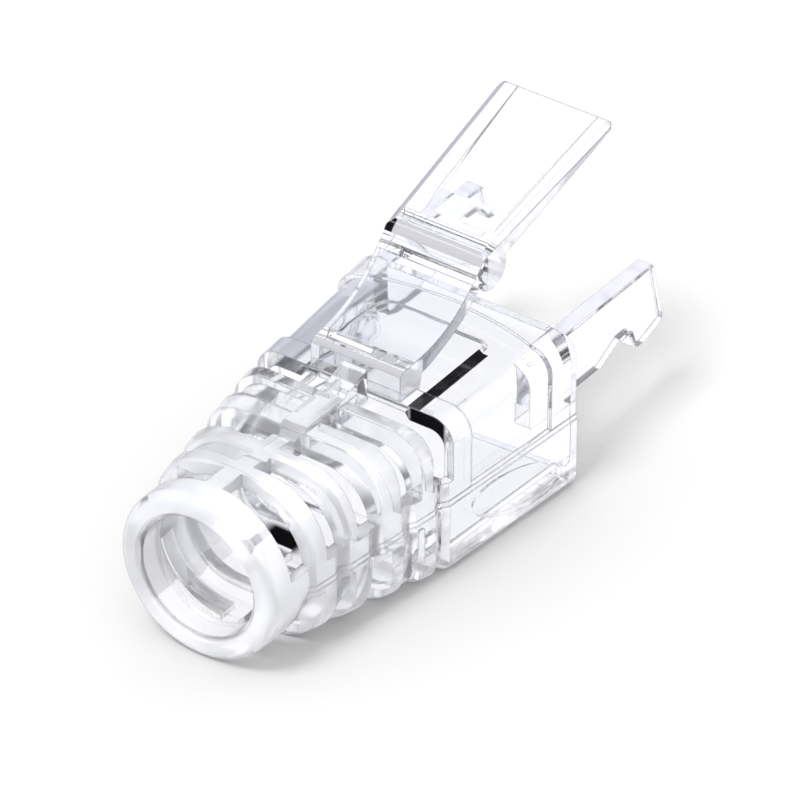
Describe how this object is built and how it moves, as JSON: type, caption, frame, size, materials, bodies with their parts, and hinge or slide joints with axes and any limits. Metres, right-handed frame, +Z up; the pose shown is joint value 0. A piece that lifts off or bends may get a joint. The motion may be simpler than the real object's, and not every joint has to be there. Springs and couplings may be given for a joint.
{
  "type": "rj45 strain relief boot",
  "caption": "Clear one-piece strain relief boot for a modular plug, with a slotted flexible neck, a latch cover lever and hooked side arms.",
  "frame": {"origin": "centre of the bounding box at the underside that the boot rests on", "axes": "+X from the cable end towards the plug end and the tip of the latch lever, +Z up through the latch side"},
  "size_m": [0.0334, 0.0144, 0.0171],
  "materials": {
    "clear_pvc": "clear gloss"
  },
  "bodies": {
    "root": {"boot": "clear_pvc"}
  },
  "joints": []
}
